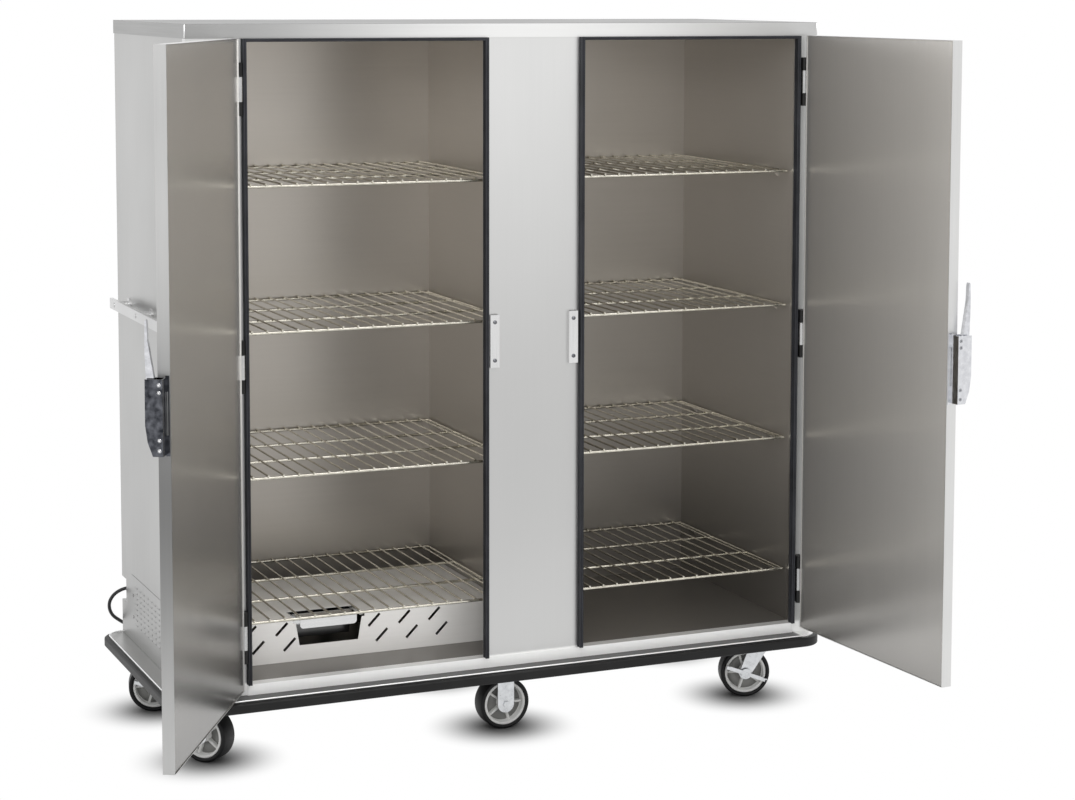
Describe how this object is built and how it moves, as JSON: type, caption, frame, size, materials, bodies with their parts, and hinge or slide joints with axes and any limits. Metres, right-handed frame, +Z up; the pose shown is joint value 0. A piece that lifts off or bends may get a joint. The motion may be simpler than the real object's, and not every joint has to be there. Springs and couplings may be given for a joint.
{
  "type": "heated banquet cabinet",
  "caption": "Heated banquet cabinet on casters, with insulated hinged doors over side by side compartments, lift-out wire shelves, a fan heater with a water pan, and a push bar.",
  "frame": {"origin": "on the floor, under the middle of the cabinet's box with its doors open as at rest, without the supply cord", "axes": "+X along the front towards the cabinet's right as seen from the front, +Y from the front to the back, +Z up"},
  "size_m": [1.9575, 1.7248, 1.79],
  "materials": {
    "deck_steel": "satin stainless sheet with a bright rim",
    "bumper_rubber": "smooth black vinyl-like rubber",
    "body_steel": "satin stainless sheet, vertical grain",
    "cap_steel": "satin stainless sheet",
    "frame_steel": "satin stainless sheet, vertical grain",
    "liner_steel": "satin stainless sheet, duller",
    "gasket_rubber": "matt dark grey ribbed rubber",
    "shelf_wire": "plated wire",
    "door_steel": "satin stainless sheet",
    "door_inner_steel": "satin stainless sheet, vertical grain",
    "hinge_black": "black finish on the knuckles",
    "hinge_steel": "bright stainless",
    "latch_chrome": "mirror chrome plate",
    "lever_chrome": "mirror chrome plate",
    "strike_steel": "bright plated steel",
    "handle_steel": "satin stainless",
    "cover_steel": "satin stainless sheet, horizontal grain",
    "pan_steel": "bright stainless sheet",
    "element_metal": "heat-darkened tube",
    "blower_aluminium": "plain aluminium sheet",
    "motor_paint": "dark grey paint",
    "control_steel": "satin stainless plate",
    "knob_plastic": "black moulded plastic",
    "switch_plastic": "black moulded plastic",
    "gland_plastic": "black moulded strain relief",
    "cord_rubber": "black rubber jacket",
    "plug_plastic": "black moulded plug with bright blades",
    "caster_zinc": "bright zinc plate on pressed steel",
    "wheel_tyre": "dark grey tread on a light grey moulded hub",
    "brake_zinc": "bright zinc plate"
  },
  "bodies": {
    "cabinet": {"base_frame": "deck_steel", "bumper": "bumper_rubber", "left_side_panel": "body_steel", "right_side_panel": "body_steel", "back_panel": "body_steel", "top_panel": "cap_steel", "front_frame": "frame_steel", "center_mullion": "frame_steel", "access_panel": "body_steel", "left_liner": "liner_steel", "right_liner": "liner_steel", "left_gasket": "gasket_rubber", "right_gasket": "gasket_rubber", "left_shelf_1": "shelf_wire", "left_shelf_2": "shelf_wire", "left_shelf_3": "shelf_wire", "left_shelf_4": "shelf_wire", "right_shelf_1": "shelf_wire", "right_shelf_2": "shelf_wire", "right_shelf_3": "shelf_wire", "right_shelf_4": "shelf_wire", "cabinet_hinge_leaves": "hinge_black", "latch_strikes": "strike_steel", "push_handle": "handle_steel", "heater_cover": "cover_steel", "heating_element": "element_metal", "blower_motor": "motor_paint", "control_panel": "control_steel", "cord_gland": "gland_plastic", "power_cord": "cord_rubber", "cord_coil": "cord_rubber", "plug": "plug_plastic", "caster_plates": "caster_zinc", "rigid_forks": "caster_zinc"},
    "left_door": {"left_door_shell": "door_steel", "left_door_liner": "door_inner_steel", "left_door_hinge_leaves": "hinge_steel", "left_latch_body": "latch_chrome"},
    "left_latch": {"left_latch_lever": "lever_chrome"},
    "right_door": {"right_door_shell": "door_steel", "right_door_liner": "door_inner_steel", "right_door_hinge_leaves": "hinge_steel", "right_latch_body": "latch_chrome"},
    "right_latch": {"right_latch_lever": "lever_chrome"},
    "water_pan": {"humidity_pan": "pan_steel"},
    "heat_knob": {"thermostat_knob": "knob_plastic"},
    "rocker": {"power_switch": "switch_plastic"},
    "fan_wheel": {"blower_wheel": "blower_aluminium"},
    "front_left_swivel": {"front_left_fork": "caster_zinc"},
    "front_left_roller": {"front_left_wheel": "wheel_tyre"},
    "front_right_swivel": {"front_right_fork": "caster_zinc"},
    "front_right_roller": {"front_right_wheel": "wheel_tyre"},
    "rear_left_swivel": {"rear_left_fork": "caster_zinc"},
    "rear_left_roller": {"rear_left_wheel": "wheel_tyre"},
    "rear_right_swivel": {"rear_right_fork": "caster_zinc"},
    "rear_right_roller": {"rear_right_wheel": "wheel_tyre"},
    "middle_front_roller": {"middle_front_wheel": "wheel_tyre"},
    "middle_rear_roller": {"middle_rear_wheel": "wheel_tyre"},
    "front_right_pedal": {"front_right_brake": "brake_zinc"},
    "rear_left_pedal": {"rear_left_brake": "brake_zinc"}
  },
  "joints": [
    {"name": "left_door_hinge", "type": "hinge", "parent": "cabinet", "child": "left_door", "pos_m": [-0.60587, -0.02923, 0.984], "axis": [0, 0, -1], "range_deg": [-119.5, 10.5]},
    {"name": "right_door_hinge", "type": "hinge", "parent": "cabinet", "child": "right_door", "pos_m": [0.89113, -0.02923, 0.984], "axis": [0, 0, 1], "range_deg": [-93.5, 36.5]},
    {"name": "left_latch_pivot", "type": "hinge", "parent": "left_door", "child": "left_latch", "pos_m": [-0.96223, -0.58396, 0.975], "axis": [-0.4924, -0.8704, 0], "range_deg": [0, 30], "stiffness_Nm_per_rad": 0.8, "springref_deg": -11.46},
    {"name": "right_latch_pivot", "type": "hinge", "parent": "right_door", "child": "right_latch", "pos_m": [0.96825, -0.68404, 0.975], "axis": [-0.061, 0.9981, 0], "range_deg": [0, 30], "stiffness_Nm_per_rad": 0.8, "springref_deg": -11.46},
    {"name": "thermostat_turn", "type": "hinge", "parent": "cabinet", "child": "heat_knob", "pos_m": [-0.73537, 0.10717, 0.29], "axis": [1, 0, 0], "range_deg": [0, 270]},
    {"name": "switch_rock", "type": "hinge", "parent": "cabinet", "child": "rocker", "pos_m": [-0.73537, 0.16217, 0.29], "axis": [0, -1, 0], "range_deg": [0, 16]},
    {"name": "fan_spin", "type": "hinge", "parent": "cabinet", "child": "fan_wheel", "pos_m": [0.01913, 0.28717, 0.27], "axis": [0, 0, 1], "continuous": true},
    {"name": "pan_slide", "type": "slide", "parent": "cabinet", "child": "water_pan", "axis": [0, -1, 0], "range_m": [0, 0.2]},
    {"name": "front_left_swivel_turn", "type": "hinge", "parent": "cabinet", "child": "front_left_swivel", "pos_m": [-0.63587, 0.09217, 0.14], "axis": [0, 0, 1], "continuous": true},
    {"name": "front_left_wheel_spin", "type": "hinge", "parent": "front_left_swivel", "child": "front_left_roller", "pos_m": [-0.6608, 0.12085, 0.066], "axis": [-0.7547, -0.6561, 0], "continuous": true},
    {"name": "front_right_swivel_turn", "type": "hinge", "parent": "cabinet", "child": "front_right_swivel", "pos_m": [0.83813, 0.09217, 0.14], "axis": [0, 0, 1], "continuous": true},
    {"name": "front_right_wheel_spin", "type": "hinge", "parent": "front_right_swivel", "child": "front_right_roller", "pos_m": [0.80179, 0.10328, 0.066], "axis": [-0.2924, -0.9563, 0], "continuous": true},
    {"name": "rear_left_swivel_turn", "type": "hinge", "parent": "cabinet", "child": "rear_left_swivel", "pos_m": [-0.63587, 0.58217, 0.14], "axis": [0, 0, 1], "continuous": true},
    {"name": "rear_left_wheel_spin", "type": "hinge", "parent": "rear_left_swivel", "child": "rear_left_roller", "pos_m": [-0.67304, 0.59007, 0.066], "axis": [-0.2079, -0.9781, 0], "continuous": true},
    {"name": "rear_right_swivel_turn", "type": "hinge", "parent": "cabinet", "child": "rear_right_swivel", "pos_m": [0.83813, 0.58217, 0.14], "axis": [0, 0, 1], "continuous": true},
    {"name": "rear_right_wheel_spin", "type": "hinge", "parent": "rear_right_swivel", "child": "rear_right_roller", "pos_m": [0.80013, 0.58217, 0.066], "axis": [0, -1, 0], "continuous": true},
    {"name": "middle_front_wheel_spin", "type": "hinge", "parent": "cabinet", "child": "middle_front_roller", "pos_m": [0.10113, 0.09217, 0.066], "axis": [0, 1, 0], "continuous": true},
    {"name": "middle_rear_wheel_spin", "type": "hinge", "parent": "cabinet", "child": "middle_rear_roller", "pos_m": [0.10113, 0.58217, 0.066], "axis": [0, 1, 0], "continuous": true},
    {"name": "front_right_brake_rock", "type": "hinge", "parent": "front_right_swivel", "child": "front_right_pedal", "pos_m": [0.80179, 0.10328, 0.066], "axis": [-0.2924, -0.9563, 0], "range_deg": [0, 40]},
    {"name": "rear_left_brake_rock", "type": "hinge", "parent": "rear_left_swivel", "child": "rear_left_pedal", "pos_m": [-0.67304, 0.59007, 0.066], "axis": [-0.2079, -0.9781, 0], "range_deg": [0, 40]}
  ]
}
